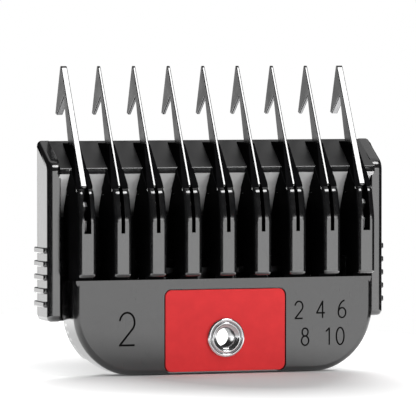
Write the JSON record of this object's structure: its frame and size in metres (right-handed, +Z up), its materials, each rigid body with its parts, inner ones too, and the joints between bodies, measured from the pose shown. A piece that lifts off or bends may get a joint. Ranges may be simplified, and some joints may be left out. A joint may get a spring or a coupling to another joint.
{
  "type": "clipper guard comb",
  "caption": "Clip-on guard comb for a detachable clipper blade: moulded body, slim upright metal tines, colour plate with a hollow rivet, sprung rear hook.",
  "frame": {"origin": "centre of the flat strip under the lower plate that the comb stands on", "axes": "+X across the comb, to the right seen from its front; +Y from the front face towards the blade; +Z up along the tines"},
  "size_m": [0.0546, 0.0142, 0.0463],
  "materials": {
    "black_plastic": "gloss moulded black",
    "red_plastic": "satin moulded red",
    "tine_steel": "polished stainless, fine grain",
    "chrome": "bright nickel plate",
    "spring_steel": "drawn wire"
  },
  "bodies": {
    "comb": {"comb_body": "black_plastic", "tine_1": "tine_steel", "tine_2": "tine_steel", "tine_3": "tine_steel", "tine_4": "tine_steel", "tine_5": "tine_steel", "tine_6": "tine_steel", "tine_7": "tine_steel", "tine_8": "tine_steel", "tine_9": "tine_steel", "tine_pin_1": "tine_steel", "tine_pin_2": "tine_steel", "tine_pin_3": "tine_steel", "tine_pin_4": "tine_steel", "tine_pin_5": "tine_steel", "tine_pin_6": "tine_steel", "tine_pin_7": "tine_steel", "tine_pin_8": "tine_steel", "tine_pin_9": "tine_steel", "colour_plate": "red_plastic", "eyelet": "chrome", "eyelet_washer": "spring_steel", "rear_cover": "tine_steel", "return_spring_left": "spring_steel", "return_spring_right": "spring_steel", "spring_pin_left": "spring_steel", "spring_pin_right": "spring_steel", "cover_screw_left_lower": "chrome", "cover_screw_left_upper": "chrome", "cover_screw_right_lower": "chrome", "cover_screw_right_upper": "chrome"},
    "slide": {"slide_hook": "tine_steel"}
  },
  "joints": [
    {"name": "hook_slide", "type": "slide", "parent": "comb", "child": "slide", "axis": [0, 0, -1], "range_m": [0, 0.0055], "stiffness_N_per_m": 900, "springref_m": -0.001, "deforming": ["return_spring_left", "return_spring_right"]}
  ]
}
